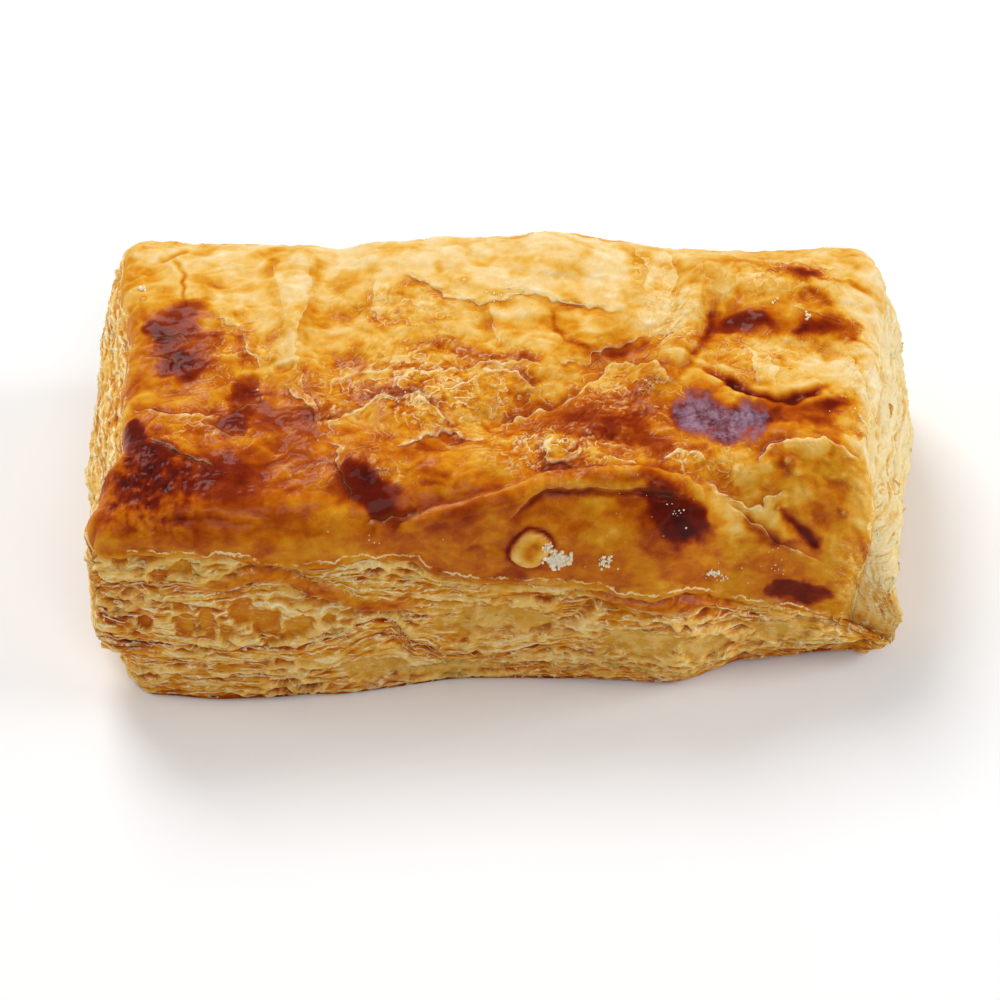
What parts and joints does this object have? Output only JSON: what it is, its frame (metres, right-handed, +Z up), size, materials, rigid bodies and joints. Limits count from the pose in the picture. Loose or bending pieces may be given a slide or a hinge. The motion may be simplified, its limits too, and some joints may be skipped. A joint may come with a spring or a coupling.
{
  "type": "chicken puff",
  "caption": "Baked puff-pastry parcel with a glazed, scorched and flaky top crust that rolls over a laminated body with open pastry layers on its sides.",
  "frame": {"origin": "centre of the bounding box's underside, on the surface that the puff rests on", "axes": "+X along the puff's length, +Y from its front, where the crust rolls down, to its back, +Z up"},
  "size_m": [0.1268, 0.0704, 0.0401],
  "materials": {
    "baked_pastry": "glazed golden-brown puff pastry crust, glossy where egg-washed, with dark scorched blisters and pale flaky layers at the sides"
  },
  "bodies": {
    "root": {"chicken_puff": "baked_pastry"}
  },
  "joints": []
}
